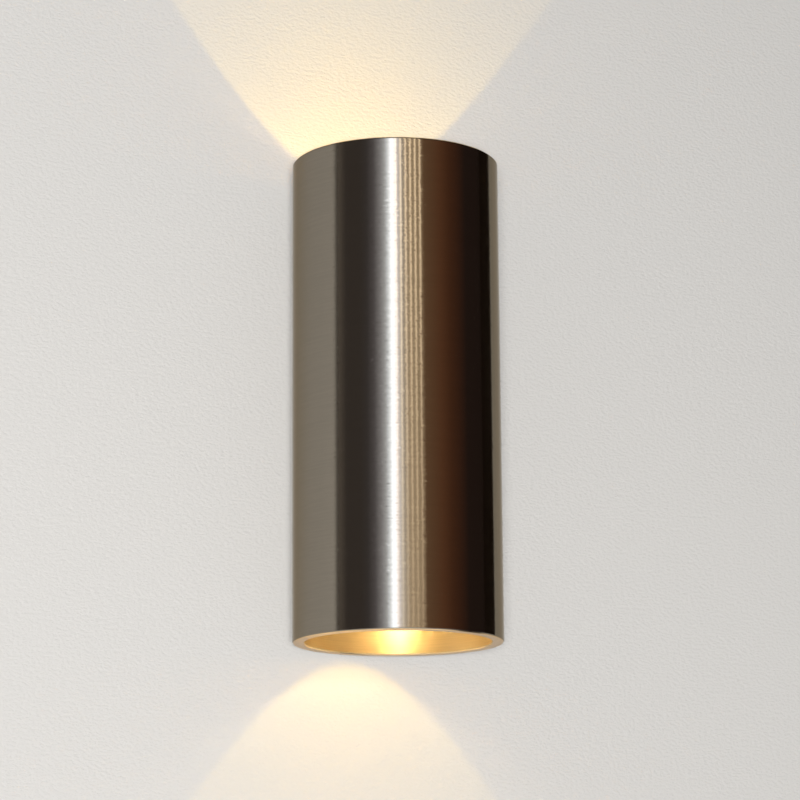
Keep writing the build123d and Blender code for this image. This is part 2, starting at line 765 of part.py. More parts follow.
with BuildPart() as earth_ring:
    with BuildSketch(Plane.XY.offset(shelf_under)):
        with Locations((0, earth_y)):
            Circle(earth_ring_d / 2)
        with Locations((0, (earth_y + barrel_start_y + earth_tongue_overlap) / 2)):
            Rectangle(earth_barrel_d, earth_barrel_start + earth_tongue_overlap)
        with Locations((0, earth_y)):
            Circle((base_screw_d + hole_play) / 2, mode=Mode.SUBTRACT)
    extrude(amount=-earth_ring_sheet)
    with BuildSketch(Plane(origin=(0, barrel_start_y, earth_level), z_dir=(0, 1, 0))):
        Circle(earth_barrel_d / 2)
    extrude(amount=earth_barrel_length)
save(earth_ring, "earth_ring")

with BuildPart() as earth_screw:
    head_seat = shelf_under - earth_ring_sheet
    with BuildSketch(Plane.XY.offset(head_seat) * Location((0, earth_y, 0))):
        Circle(earth_head_d / 2)
    extrude(amount=-earth_head_height)
    fillet(earth_screw.edges().sort_by(Axis.Z)[0], radius=earth_head_round)
    with BuildSketch(Plane.XY.offset(head_seat - earth_head_height) * Location((0, earth_y, 0))):
        Rectangle(earth_cross_length, earth_cross_width)
        Rectangle(earth_cross_width, earth_cross_length)
    extrude(amount=earth_cross_depth, mode=Mode.SUBTRACT)
    with BuildSketch(Plane.XY.offset(head_seat) * Location((0, earth_y, 0))):
        Circle(base_screw_d / 2)
    extrude(amount=earth_ring_sheet + bracket_sheet + nut_height + screw_stand_out)
save(earth_screw, "earth_screw")

with BuildPart() as earth_nut:
    with BuildSketch(Plane.XY.offset(shelf_face) * Location((0, earth_y, 0))):
        RegularPolygon(nut_flats / 2, 6, major_radius=False)
        Circle((base_screw_d + screw_play) / 2, mode=Mode.SUBTRACT)
    extrude(amount=nut_height)
save(earth_nut, "earth_nut")

# ---------------------------------------------------------------- internal wires

wire_end = block_middle - tube_brass_length / 2 - screw_play
pair_step = (wire_d + wire_pair_gap) / 2
barrel_level = shelf_face + barrel_height


def wire(name, points, bends):
    """A wire of round section along straight runs joined by arcs, from its first point to its last."""
    with BuildPart() as insulated_wire:
        with BuildLine() as route:
            FilletPolyline(*points, radius=bends)
        with BuildSketch(Plane(origin=route.wire() @ 0, z_dir=route.wire() % 0)):
            Circle(wire_d / 2)
        sweep(path=route.wire())
    plain_volume = pi * wire_d**2 / 4 * route.wire().length
    print(name, "bends", bends, "volume over section times length", insulated_wire.part.volume / plain_volume)
    save(insulated_wire, name)


def wire_to_pole(name, start, run_x, end_x, lead, dip, first_bend):
    """From its start towards the wall, down at run_x past the terminal block, and up into a pole from below."""
    run_y = pole_y - lead
    lowest = block_bottom - dip
    points = [
        start,
        (start[0], run_y, start[2]),
        (run_x, run_y, lowest),
        (end_x, pole_y, lowest),
        (end_x, pole_y, wire_end),
    ]
    return_bend = (lead - return_straight) / 2
    wire(name, points, [first_bend, return_bend, return_bend])


barrel_y = axis_y + barrel_back

for polarity, side in (("live", -1), ("neutral", 1)):
    barrel_side_x = side * barrel_x
    upper_end_x = side * (pole_pitch + pair_step)
    lower_end_x = side * (pole_pitch - pair_step)
    wire_to_pole(
        f"upper_{polarity}_wire",
        (barrel_side_x, barrel_y, barrel_level),
        barrel_side_x,
        upper_end_x,
        upper_wire_lead,
        upper_wire_dip,
        upper_wire_bend,
    )
    wire_to_pole(
        f"lower_{polarity}_wire",
        (barrel_side_x, barrel_y, -barrel_level),
        lower_end_x,
        lower_end_x,
        lower_wire_lead,
        lower_wire_dip,
        lower_wire_bend,
    )

earth_start = (0, barrel_end_y, earth_level)
wire_to_pole("earth_wire", earth_start, 0, 0, earth_wire_lead, earth_wire_dip, earth_wire_bend)
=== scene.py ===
"""The looks of the tube wall light: its finishes, its lit lamps, and a plain studio round it.

Metres, in the model's own frame: +z is up, the wall is the plane y = 0, and the light stands off towards -y.
"""

import json
from math import cos, hypot, pi, radians, sin, sqrt

import bpy
from mathutils import Matrix, Vector

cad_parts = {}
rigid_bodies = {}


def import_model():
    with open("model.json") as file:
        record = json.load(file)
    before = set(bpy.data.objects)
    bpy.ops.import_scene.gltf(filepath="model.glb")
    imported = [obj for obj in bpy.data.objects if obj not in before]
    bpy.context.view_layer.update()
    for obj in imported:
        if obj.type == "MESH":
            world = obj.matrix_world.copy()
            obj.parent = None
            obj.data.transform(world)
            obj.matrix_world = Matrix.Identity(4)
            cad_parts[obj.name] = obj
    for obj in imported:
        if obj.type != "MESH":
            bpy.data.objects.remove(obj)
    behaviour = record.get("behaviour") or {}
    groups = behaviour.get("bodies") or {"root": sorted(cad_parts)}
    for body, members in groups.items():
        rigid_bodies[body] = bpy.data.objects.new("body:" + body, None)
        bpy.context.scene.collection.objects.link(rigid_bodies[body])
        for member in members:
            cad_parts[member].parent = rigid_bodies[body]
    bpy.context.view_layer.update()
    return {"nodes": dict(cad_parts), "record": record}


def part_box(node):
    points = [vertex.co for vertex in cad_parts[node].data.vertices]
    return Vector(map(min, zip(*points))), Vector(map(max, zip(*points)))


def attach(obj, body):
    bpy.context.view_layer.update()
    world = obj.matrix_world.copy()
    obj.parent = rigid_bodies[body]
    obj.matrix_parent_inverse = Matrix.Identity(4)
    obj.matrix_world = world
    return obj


for leftover in list(bpy.data.objects):
    bpy.data.objects.remove(leftover)

bpy.context.scene.view_settings.view_transform = "Standard"

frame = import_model()
nodes = frame["nodes"]

MM = 0.001

# ---------------------------------------------------------------- places read from the frame

tube_low, tube_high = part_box("housing_tube")
axis_y = (tube_low.y + tube_high.y) / 2
tube_r = (tube_high.x - tube_low.x) / 2
tube_top = tube_high.z
tube_wall = 4.5 * MM
bore_r = tube_r - tube_wall
gasket_low, gasket_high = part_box("wall_gasket")

# ---------------------------------------------------------------- camera

camera_distance = 1.0440  # from the tube's axis, level
camera_height = -0.2263
camera_azimuth = radians(-24.5)
camera_yaw = 0.0012
camera_pitch = 0.2138
camera_roll = -0.0072
camera_lens = 130.03
camera_sensor = 36.0
camera_nearest = 0.01
camera_farthest = 20


def place_camera():
    """Looks up at the tube from its lower left, at the photograph's viewing angle."""
    forward = Vector(
        (sin(camera_yaw) * cos(camera_pitch), cos(camera_yaw) * cos(camera_pitch), sin(camera_pitch))
    )
    level_right = forward.cross(Vector((0, 0, 1))).normalized()
    level_up = level_right.cross(forward)
    right = level_right * cos(camera_roll) + level_up * sin(camera_roll)
    up = -level_right * sin(camera_roll) + level_up * cos(camera_roll)
    turn = Matrix.Rotation(camera_azimuth, 3, "Z")
    right, up, back = turn @ right, turn @ up, turn @ -forward
    place = turn @ Vector((0, -camera_distance, 0)) + Vector((0, axis_y, camera_height))
    camera = bpy.data.objects.new("camera", bpy.data.cameras.new("camera"))
    camera.data.lens = camera_lens
    camera.data.sensor_width = camera_sensor
    camera.data.clip_start = camera_nearest
    camera.data.clip_end = camera_farthest
    camera.matrix_world = Matrix(
        (
            (right.x, up.x, back.x, place.x),
            (right.y, up.y, back.y, place.y),
            (right.z, up.z, back.z, place.z),
            (0, 0, 0, 1),
        )
    )
    bpy.context.scene.collection.objects.link(camera)
    bpy.context.scene.camera = camera


place_camera()

# ---------------------------------------------------------------- node helpers


class Tree:
    """Short calls that add nodes to a node tree and join them."""

    def __init__(self, tree):
        self.tree = tree

    def set(self, socket, value):
        if isinstance(value, bpy.types.NodeSocket):
            self.tree.links.new(value, socket)
        else:
            socket.default_value = value

    def add(self, kind, inputs=(), **settings):
        node = self.tree.nodes.new(kind)
        for name, value in settings.items():
            setattr(node, name, value)
        for name, value in dict(inputs).items():
            self.set(node.inputs[name], value)
        return node

    def math(self, operation, a, b=0.0, c=0.0):
        return self.add("ShaderNodeMath", {0: a, 1: b, 2: c}, operation=operation).outputs[0]

    def vector(self, operation, a, b=(0, 0, 0), scale=1.0):
        node = self.add("ShaderNodeVectorMath", {0: a, 1: b, 3: scale}, operation=operation)
        return node.outputs["Value" if operation in ("LENGTH", "DOT_PRODUCT") else "Vector"]

    def position(self):
        """Where the point is on the piece at rest, in the model's frame."""
        return self.add("ShaderNodeTexCoord").outputs["Object"]

    def parts(self, vector):
        return self.add("ShaderNodeSeparateXYZ", {0: vector}).outputs

    def join(self, x, y, z):
        return self.add("ShaderNodeCombineXYZ", {0: x, 1: y, 2: z}).outputs[0]

    def step(self, value, low, high, out_low=0.0, out_high=1.0):
        """Goes smoothly from out_low at low to out_high at high, and stays level outside them."""
        inputs = {"Value": value, "From Min": low, "From Max": high, "To Min": out_low, "To Max": out_high}
        return self.add("ShaderNodeMapRange", inputs, interpolation_type="SMOOTHSTEP").outputs[0]

    def noise(self, vector, scale, detail=2.0, roughness=0.5):
        inputs = {"Vector": vector, "Scale": scale, "Detail": detail, "Roughness": roughness}
        return self.add("ShaderNodeTexNoise", inputs).outputs["Fac"]

    def mix(self, factor, a, b, blend="MIX"):
        node = self.add("ShaderNodeMix", {0: factor, 6: a, 7: b}, data_type="RGBA", blend_type=blend)
        return node.outputs[2]

    def bump(self, height, distance, strength):
        inputs = {"Height": height, "Distance": distance, "Strength": strength}
        return self.add("ShaderNodeBump", inputs).outputs[0]

    def ramp(self, factor, stops):
        """Colours between stops, each a place from 0 to 1 and a colour."""
        node = self.add("ShaderNodeValToRGB", {0: factor})
        elements = node.color_ramp.elements
        while len(elements) < len(stops):
            elements.new(1.0)
        for element, (place, colour) in zip(elements, stops):
            element.position = place
            element.color = (*colour, 1.0)
        return node.outputs[0]


class Finish(Tree):
    """A material whose Principled shader takes its inputs by name."""

    def __init__(self, name, **inputs):
        self.material = bpy.data.materials.new(name)
        self.material.use_nodes = True
        super().__init__(self.material.node_tree)
        self.shader = self.tree.nodes["Principled BSDF"]
        self.output = self.tree.nodes["Material Output"]
        self.give(**inputs)

    def give(self, **inputs):
        for name, value in inputs.items():
            self.set(self.shader.inputs[name.replace("_", " ")], value)


# ---------------------------------------------------------------- materials of the tube and base

tube_tint = (0.265, 0.237, 0.195, 1)
rim_tint = (0.98, 0.72, 0.42, 1)
edge_tint = (0.63, 0.57, 0.49, 1)  # of what the metal mirrors at a grazing angle
bore_tint = (0.80, 0.62, 0.32, 1)
turning_lines = (70, 70, 2600)  # per metre: long round the tube, a few tenths of a millimetre wide up it
fleck_grain = (700, 700, 1900)
fleck_lean = 1.2
tube_roughness = 0.12
bore_roughness = 0.37
tube_stretch = 0.94  # how much more the lines blur what is mirrored up and down than sideways
bore_stretch = 0.81
bore_metal = 0.82
painted_edge_low, painted_edge_high = 0.8 * MM, 0.4 * MM  # depths below the top between which a dark line of painted shade runs round the tube
painted_edge_shade = 0.4


def tube_bronze():
    """Satin-turned light bronze outside, golden in the bore, with fine lines round the tube."""
    m = Finish("tube_bronze", Anisotropic_Rotation=0.25, Specular_Tint=edge_tint)
    place = m.position()
    from_axis = m.vector("SUBTRACT", place, (0, axis_y, 0))
    x, y, z = m.parts(from_axis)
    flat = m.join(x, y, 0)
    radius = m.vector("LENGTH", flat)
    outside = m.step(radius, tube_r - 0.4 * MM, tube_r - 0.2 * MM)
    in_bore = m.step(radius, bore_r + 0.1 * MM, bore_r + 0.4 * MM, 1, 0)
    lines = m.noise(m.vector("MULTIPLY", from_axis, turning_lines), 1.0, detail=3)
    flecks = m.noise(m.vector("MULTIPLY", from_axis, fleck_grain), 1.0, detail=1)
    patches = m.noise(from_axis, 22.0)
    tint = m.mix(in_bore, m.mix(outside, rim_tint, tube_tint), bore_tint)
    # Painted shade: a dark line round the top edge, in place of the dark that its bevel would mirror
    painted_edge_line = m.math("MULTIPLY", m.step(z, tube_top - painted_edge_low, tube_top - painted_edge_high), outside)
    painted_edge_factor = m.math("MULTIPLY_ADD", painted_edge_line, painted_edge_shade - 1.0, 1.0)
    shade = m.math("MULTIPLY", m.step(lines, 0.3, 0.7, 0.93, 1.0), painted_edge_factor)
    m.give(Base_Color=m.mix(1.0, tint, m.join(shade, shade, shade), "MULTIPLY"))
    rough = m.math("MULTIPLY_ADD", patches, 0.03, tube_roughness)
    m.give(Roughness=m.math("MULTIPLY_ADD", in_bore, bore_roughness - tube_roughness, rough))
    m.give(Metallic=m.math("MULTIPLY_ADD", in_bore, bore_metal - 1.0, 1.0))
    m.give(Anisotropic=m.math("MULTIPLY_ADD", in_bore, bore_stretch - tube_stretch, tube_stretch))
    # Each fleck leans the surface a little to one side, round the tube
    around = m.vector("NORMALIZE", m.join(m.math("MULTIPLY", y, -1.0), x, 0))
    lean = m.math("MULTIPLY", m.math("POWER", m.math("SUBTRACT", flecks, 0.5), 3.0), fleck_lean)
    normal = m.add("ShaderNodeNewGeometry").outputs["Normal"]
    leaning = m.vector("NORMALIZE", m.vector("ADD", normal, m.vector("SCALE", around, scale=lean)))
    m.give(Normal=leaning)
    tangent = m.add("ShaderNodeTangent", direction_type="RADIAL", axis="Z").outputs[0]
    m.give(Tangent=tangent)
    return m.material


def base_bronze():
    """Fine satin coating on the cast base."""
    m = Finish("base_bronze", Metallic=0.9)
    grain = m.noise(m.position(), 2500.0)
    m.give(Base_Color=m.mix(m.step(grain, 0.3, 0.7), (0.22, 0.185, 0.15, 1), (0.27, 0.23, 0.19, 1)))
    m.give(Roughness=m.math("MULTIPLY_ADD", grain, 0.15, 0.38), Normal=m.bump(grain, 0.03 * MM, 0.4))
    return m.material


# ---------------------------------------------------------------- materials of the other parts

stripe_half = 0.46 * MM  # of the yellow stripe on the earth wire
track_pitch = 1.3 * MM  # of the copper tracks on the driver board


def speckled(name, dark, light, roughness, scale, bump_mm=0.02):
    """A finish with a fine grain between two close colours."""
    m = Finish(name)
    grain = m.noise(m.position(), scale, detail=3)
    m.give(Base_Color=m.mix(m.step(grain, 0.3, 0.7), (*dark, 1), (*light, 1)))
    m.give(Roughness=m.math("MULTIPLY_ADD", grain, 0.12, roughness - 0.06))
    m.give(Normal=m.bump(grain, bump_mm * MM, 0.5))
    return m.material


def galvanised():
    """Zinc-coated sheet: patches of crystals that catch the light differently, with faint rolling lines."""
    m = Finish("zinc_steel", Metallic=1.0)
    place = m.position()
    wander = m.add("ShaderNodeTexNoise", {"Vector": place, "Scale": 260.0}).outputs["Color"]
    warp = m.vector("SCALE", wander, scale=0.35)
    inputs = {"Vector": m.vector("ADD", m.vector("SCALE", place, scale=330.0), warp), "Scale": 1.0}
    crystal = m.parts(m.add("ShaderNodeTexVoronoi", inputs).outputs["Color"])[0]
    rolling = m.noise(m.vector("MULTIPLY", place, (2600, 2600, 60)), 1.0)
    tone = m.math("MULTIPLY_ADD", rolling, 0.25, m.math("MULTIPLY", crystal, 0.75))
    m.give(Base_Color=m.mix(tone, (0.46, 0.475, 0.49, 1), (0.68, 0.69, 0.70, 1)))
    m.give(Roughness=m.math("MULTIPLY_ADD", crystal, 0.18, 0.28))
    m.give(Normal=m.bump(tone, 0.015 * MM, 0.6))
    return m.material


def foam_rubber():
    """Closed-cell sealing foam: matt black with small cut cells."""
    m = Finish("gasket_rubber", Specular_IOR_Level=0.3)
    place = m.position()
    cells = m.add("ShaderNodeTexVoronoi", {"Vector": place, "Scale": 1900.0}).outputs["Distance"]
    cells = m.step(cells, 0.1, 0.6)
    broad = m.noise(place, 260.0)
    m.give(Base_Color=m.mix(cells, (0.012, 0.012, 0.012, 1), (0.045, 0.045, 0.047, 1)))
    m.give(Roughness=m.math("MULTIPLY_ADD", broad, 0.2, 0.72), Normal=m.bump(cells, 0.08 * MM, 0.8))
    return m.material


def plated(name, tone, tinge, roughness):
    """Bright plating on turned or pressed metal: fine rings or lines, and a tinge in patches."""
    m = Finish(name, Metallic=1.0)
    place = m.position()
    lines = m.noise(m.vector("MULTIPLY", place, (900, 5200, 900)), 1.0, detail=3)
    patches = m.step(m.noise(place, 320.0), 0.35, 0.7)
    m.give(Base_Color=m.mix(patches, (*tone, 1), (*tinge, 1)))
    m.give(Roughness=m.math("MULTIPLY_ADD", lines, 0.16, roughness - 0.08))
    m.give(Normal=m.bump(lines, 0.012 * MM, 0.6))
    return m.material


def fired_ceramic():
    """Steatite: off-white with small darker specks and a half-matt fired skin."""
    m = Finish("holder_ceramic", Coat_Weight=0.25, Coat_Roughness=0.3)
    place = m.position()
    specks = m.step(m.noise(place, 1500.0, detail=4, roughness=0.7), 0.66, 0.74)
    cloud = m.noise(place, 160.0)
    skin = m.mix(cloud, (0.80, 0.77, 0.70, 1), (0.86, 0.84, 0.78, 1))
    m.give(Base_Color=m.mix(specks, skin, (0.42, 0.36, 0.28, 1)))
    m.give(Roughness=m.math("MULTIPLY_ADD", cloud, 0.2, 0.45), Normal=m.bump(cloud, 0.05 * MM, 0.4))
    return m.material


def wire_cover(name, dark, light):
    """Drawn insulation: smooth, slightly waxy, with faint scuffs along it."""
    m = Finish(name, Coat_Weight=0.3, Coat_Roughness=0.35)
    place = m.position()
    scuffs = m.noise(m.vector("MULTIPLY", place, (1800, 1800, 240)), 1.0, detail=3)
    m.give(Base_Color=m.mix(m.step(scuffs, 0.35, 0.7), (*dark, 1), (*light, 1)))
    m.give(Roughness=m.math("MULTIPLY_ADD", scuffs, 0.2, 0.32), Normal=m.bump(scuffs, 0.01 * MM, 0.5))
    return m.material


def earth_cover():
    """Green insulation with a yellow stripe along its front and back."""
    m = Finish("wire_green", Coat_Weight=0.3, Coat_Roughness=0.35)
    place = m.position()
    scuffs = m.noise(m.vector("MULTIPLY", place, (1800, 1800, 240)), 1.0, detail=3)
    across = m.math("ABSOLUTE", m.parts(place)[0])
    stripe = m.step(across, stripe_half - 0.04 * MM, stripe_half + 0.04 * MM, 1, 0)
    m.give(Base_Color=m.mix(stripe, (0.03, 0.24, 0.04, 1), (0.85, 0.62, 0.03, 1)))
    m.give(Roughness=m.math("MULTIPLY_ADD", scuffs, 0.2, 0.32), Normal=m.bump(scuffs, 0.01 * MM, 0.5))
    return m.material


def circuit_board():
    """Green solder mask over faint copper tracks."""
    m = Finish("driver_board", Coat_Weight=0.4, Coat_Roughness=0.2)
    place = m.position()
    x, y, _ = m.parts(place)
    wander = m.math("MULTIPLY_ADD", m.noise(place, 90.0), 5 * MM, x)
    across = m.math("ADD", wander, m.math("MULTIPLY", y, 0.5))
    tracks = m.math("SINE", m.math("MULTIPLY", across, 2 * pi / track_pitch))
    tracks = m.step(tracks, -0.1, 0.25)
    m.give(Base_Color=m.mix(tracks, (0.012, 0.09, 0.035, 1), (0.03, 0.19, 0.07, 1)))
    m.give(Roughness=m.math("MULTIPLY_ADD", tracks, 0.1, 0.35), Normal=m.bump(tracks, 0.035 * MM, 0.7))
    return m.material


lamp_light = (1.0, 0.64, 0.19, 1)
source_light = (1.0, 0.9, 0.75, 1)
source_inner, source_outer = 2.5 * MM, 8 * MM  # radii between which the bright middle of a lens fades
middle_aslant, middle_ahead = 1350.0, 3.0  # brightness of that middle, to the side and straight ahead
lens_aslant, lens_ahead = 1.6, 0.36  # and of the rest of the lens
middle_sharpness = 3.5  # how steeply the middle brightens to the side
source_strength = 20.0


def lens_clear():
    """Lit acrylic, brightest over the light source. Each lenslet is bright on top and dim at its border."""
    m = Finish("lens_clear", Roughness=0.12, IOR=1.49, Base_Color=(0.9, 0.86, 0.78, 1))
    x, y, _ = m.parts(m.vector("SUBTRACT", m.position(), (0, axis_y, 0)))
    radius = m.vector("LENGTH", m.join(x, y, 0))
    over_source = m.step(radius, source_inner, source_outer, 1, 0)
    upright = m.math("ABSOLUTE", m.parts(m.add("ShaderNodeNewGeometry").outputs["Normal"])[2])
    on_top = m.step(upright, 0.93, 1.0, 0.45, 1.0)
    # It throws more light out to the sides than straight ahead, above all from over the source
    aslant = m.add("ShaderNodeLayerWeight", {"Blend": 0.5}).outputs["Facing"]
    middle = m.math("MULTIPLY_ADD", m.math("POWER", aslant, middle_sharpness), middle_aslant, middle_ahead)
    middle = m.math("MULTIPLY", middle, over_source)
    rest = m.math("MULTIPLY_ADD", aslant, lens_aslant, lens_ahead)
    glow = m.math("MULTIPLY", m.math("ADD", middle, rest), on_top)
    m.give(Emission_Color=m.mix(over_source, lamp_light, source_light), Emission_Strength=glow)
    return m.material


def light_source():
    """The lit board under the lens."""
    m = Finish("light_source", Roughness=0.4)
    m.give(Base_Color=(0.9, 0.8, 0.5, 1), Emission_Color=source_light, Emission_Strength=source_strength)
    return m.material


finishes = {
    "tube_bronze": tube_bronze(),
    "base_bronze": base_bronze(),
    "gasket_rubber": foam_rubber(),
    "bush_rubber": speckled("bush_rubber", (0.018, 0.018, 0.019), (0.032, 0.032, 0.034), 0.55, 1500),
    "zinc_steel": galvanised(),
    "screw_steel": plated("screw_steel", (0.62, 0.62, 0.60), (0.60, 0.57, 0.50), 0.30),
    "grub_steel": plated("grub_steel", (0.055, 0.055, 0.06), (0.035, 0.033, 0.035), 0.42),
    "terminal_plastic": speckled("terminal_plastic", (0.74, 0.72, 0.66), (0.80, 0.78, 0.72), 0.5, 600),
    "terminal_brass": plated("terminal_brass", (0.72, 0.52, 0.22), (0.60, 0.40, 0.15), 0.30),
    "tinned_metal": plated("tinned_metal", (0.72, 0.72, 0.70), (0.62, 0.62, 0.61), 0.36),
    "holder_ceramic": fired_ceramic(),
    "lamp_white": speckled("lamp_white", (0.79, 0.78, 0.74), (0.83, 0.82, 0.78), 0.42, 1400, bump_mm=0.04),
    "cap_plastic": speckled("cap_plastic", (0.80, 0.79, 0.75), (0.84, 0.83, 0.79), 0.38, 1800),
    "pin_nickel": plated("pin_nickel", (0.68, 0.66, 0.61), (0.60, 0.57, 0.51), 0.22),
    "driver_board": circuit_board(),
    "light_source": light_source(),
    "lens_clear": lens_clear(),
    "wire_brown": wire_cover("wire_brown", (0.075, 0.028, 0.012), (0.105, 0.042, 0.02)),
    "wire_blue": wire_cover("wire_blue", (0.008, 0.045, 0.21), (0.014, 0.065, 0.28)),
    "wire_green": earth_cover(),
}

for subpart in frame["record"]["subparts"]:
    node = nodes[subpart["node"]]
    node.data.materials.clear()
    node.data.materials.append(finishes[subpart["material_slot"]])

# ---------------------------------------------------------------- moulded fronts of the lamps


def piece(name, corners, faces, material, body):
    """A smooth-shaded mesh that rides on a body."""
    mesh = bpy.data.meshes.new(name)
    mesh.from_pydata(corners, [], faces)
    mesh.materials.append(material)
    mesh.shade_smooth()
    made = bpy.data.objects.new(name, mesh)
    bpy.context.scene.collection.objects.link(made)
    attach(made, body)


lenslet_pitch = 2.4 * MM
lenslet_height = 0.32 * MM
lenslet_parts = 5  # grid steps from the middle of one lenslet to the next
lens_field_r = 20.4 * MM
lens_sunk = 0.04 * MM  # how deep the moulded front sits in the flat one
flange_gap = 0.2 * MM  # between the flange and the lens's edge
flange_overlap = 0.5 * MM  # how far it covers the honeycomb's border
flange_height = 0.36 * MM
flange_chamfer = 0.12 * MM
ring_count = 96


def lenslet_rise(x, y):
    """How high the nearest dome of a honeycomb of lenslets stands at a place."""
    row_step = lenslet_pitch * sqrt(3) / 2
    nearest = lenslet_pitch
    row = round(y / row_step)
    for near_row in (row - 1, row, row + 1):
        shift = lenslet_pitch / 2 * (near_row % 2)
        near_x = round((x - shift) / lenslet_pitch) * lenslet_pitch + shift
        nearest = min(nearest, hypot(x - near_x, y - near_row * row_step))
    return lenslet_height * (1 - (nearest / (lenslet_pitch / sqrt(3))) ** 2)


def lens_front(end, side):
    """The honeycomb of small lenses on a lamp's front."""
    low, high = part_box(f"{end}_lamp_lens")
    front = (high.z if side > 0 else low.z) - side * lens_sunk
    step = lenslet_pitch / lenslet_parts
    rows = int(lens_field_r / (step * sqrt(3) / 2))
    places, corners, faces = {}, [], []
    for row in range(-rows, rows + 1):
        y = row * step * sqrt(3) / 2
        columns = int(lens_field_r / step) + 1
        for column in range(-columns, columns + 1):
            x = (column + 0.5 * (row % 2)) * step
            if hypot(x, y) > lens_field_r:
                continue
            places[row, column] = len(corners)
            corners.append((x, axis_y + y, front + side * lenslet_rise(x, y)))
    for row, column in places:
        left = column - 1 + row % 2
        upper = [(row, column), (row + 1, left + 1), (row + 1, left)]
        lower = [(row, column), (row, column + 1), (row + 1, left + 1)]
        for face in (upper, lower):
            if all(corner in places for corner in face):
                face = [places[corner] for corner in face]
                faces.append(face if side > 0 else face[::-1])
    piece(f"{end}_lens_front", corners, faces, finishes["lens_clear"], f"{end}_lamp")


def turned(name, profile, side, material, body):
    """A piece turned about the tube's axis from a closed profile of radii and heights."""
    corners, faces = [], []
    count = len(profile)
    for turn in range(ring_count):
        angle = 2 * pi * turn / ring_count
        for radius, height in profile:
            corners.append((radius * cos(angle), axis_y + radius * sin(angle), height))
    for turn in range(ring_count):
        here, there = turn * count, (turn + 1) % ring_count * count
        for k in range(count):
            after = (k + 1) % count
            face = (here + k, there + k, there + after, here + after)
            faces.append(face[::-1] if side > 0 else face)
    piece(name, corners, faces, material, body)


def lens_ring(end, side):
    """The raised flange that frames the honeycomb and meets the lamp's rim."""
    low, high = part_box(f"{end}_lamp_lens")
    front = high.z if side > 0 else low.z
    outer, inner = high.x - flange_gap, lens_field_r - flange_overlap
    top, chamfer = flange_height, flange_chamfer
    shape = [
        (inner, -lens_sunk),
        (inner, top - chamfer),
        (inner + chamfer, top),
        (outer - 2 * chamfer, top),
        (outer, top - 2 * chamfer),
        (outer, -lens_sunk),
    ]
    profile = [(radius, front + side * height) for radius, height in shape]
    turned(f"{end}_lens_ring", profile, side, finishes["lens_clear"], f"{end}_lamp")


for end, side in (("upper", 1), ("lower", -1)):
    lens_front(end, side)
    lens_ring(end, side)

# ---------------------------------------------------------------- studio

wall_half_width = 2.4
wall_top = 2.0
floor_height = -1.5
floor_depth = 4.0
hole_margin = 3 * MM  # how far the opening behind the light stays inside the gasket's edge
wall_gap_back = 0.05 * MM  # from the gasket's back face to the wall's face
wall_near, wall_far = 0.35, 1.1  # distances to the side between which the wall's paint darkens into painted shade
backdrop = (0.7, 0.69, 0.675, 1)
floor_glow = 0.8


def one_sided(finish):
    """Leaves a backdrop see-through from behind, so that the light can be looked at from any side."""
    behind = finish.add("ShaderNodeNewGeometry").outputs["Backfacing"]
    clear = finish.add("ShaderNodeBsdfTransparent").outputs[0]
    both = finish.add("ShaderNodeMixShader", {0: behind, 1: finish.shader.outputs[0], 2: clear})
    finish.set(finish.output.inputs["Surface"], both.outputs[0])
    return finish.material


def wall_paint():
    """Pale emulsion with the fine pebbled texture that a roller leaves."""
    m = Finish("wall_paint", Roughness=0.85, Specular_IOR_Level=0.2)
    place = m.position()
    pebbles = m.noise(m.vector("MULTIPLY", place, (1.0, 1.0, 1.7)), 560.0)
    broad = m.noise(place, 5.0)
    paint = m.mix(broad, (0.785, 0.765, 0.735, 1), (0.80, 0.78, 0.75, 1))
    # Painted shade: the paint darkens far to each side, in place of the light falling off there, where only
    # the metal mirrors it
    far = m.step(m.math("ABSOLUTE", m.parts(place)[0]), wall_near, wall_far)
    m.give(Base_Color=m.mix(far, paint, (0.3, 0.28, 0.26, 1)))
    m.give(Normal=m.bump(pebbles, 0.32 * MM, 1.0))
    return one_sided(m)


def floor_paint():
    """Pale floor that looks as pale as the backdrop, and still takes a shadow."""
    m = Finish("floor_paint", Roughness=0.8, Specular_IOR_Level=0.2, Emission_Color=backdrop)
    broad = m.noise(m.position(), 3.0)
    m.give(Base_Color=m.mix(broad, (0.78, 0.77, 0.755, 1), (0.8, 0.79, 0.775, 1)))
    path = m.add("ShaderNodeLightPath").outputs
    seen = m.math("MAXIMUM", path["Is Camera Ray"], path["Is Glossy Ray"])
    m.give(Emission_Strength=m.math("MULTIPLY", seen, floor_glow))
    return one_sided(m)


def flat_mesh(name, corners, faces, material):
    """A flat-faced mesh for the studio."""
    mesh = bpy.data.meshes.new(name)
    mesh.from_pydata(corners, [], faces)
    mesh.materials.append(material)
    piece = bpy.data.objects.new(name, mesh)
    bpy.context.scene.collection.objects.link(piece)
    return piece


def build_wall():
    """The wall, with an opening that the gasket covers, so that the plate is lit from behind."""
    hole_x = gasket_high.x - hole_margin
    hole_low, hole_high = gasket_low.z + hole_margin, gasket_high.z - hole_margin
    y = wall_gap_back
    w, low, high = wall_half_width, floor_height, wall_top
    outline = [(-w, low), (w, low), (w, high), (-w, high)]
    hole = [(-hole_x, hole_low), (hole_x, hole_low), (hole_x, hole_high), (-hole_x, hole_high)]
    corners = [(x, y, z) for x, z in outline + hole]
    faces = [(0, 1, 5, 4), (1, 2, 6, 5), (2, 3, 7, 6), (3, 0, 4, 7)]
    flat_mesh("studio_wall", corners, faces, wall_paint())


def build_floor():
    """The floor in front of the wall, far below the light."""
    w, z = wall_half_width, floor_height
    corners = [(-w, -floor_depth, z), (w, -floor_depth, z), (w, 0, z), (-w, 0, z)]
    flat_mesh("studio_floor", corners, [(0, 1, 2, 3)], floor_paint())


build_wall()
build_floor()

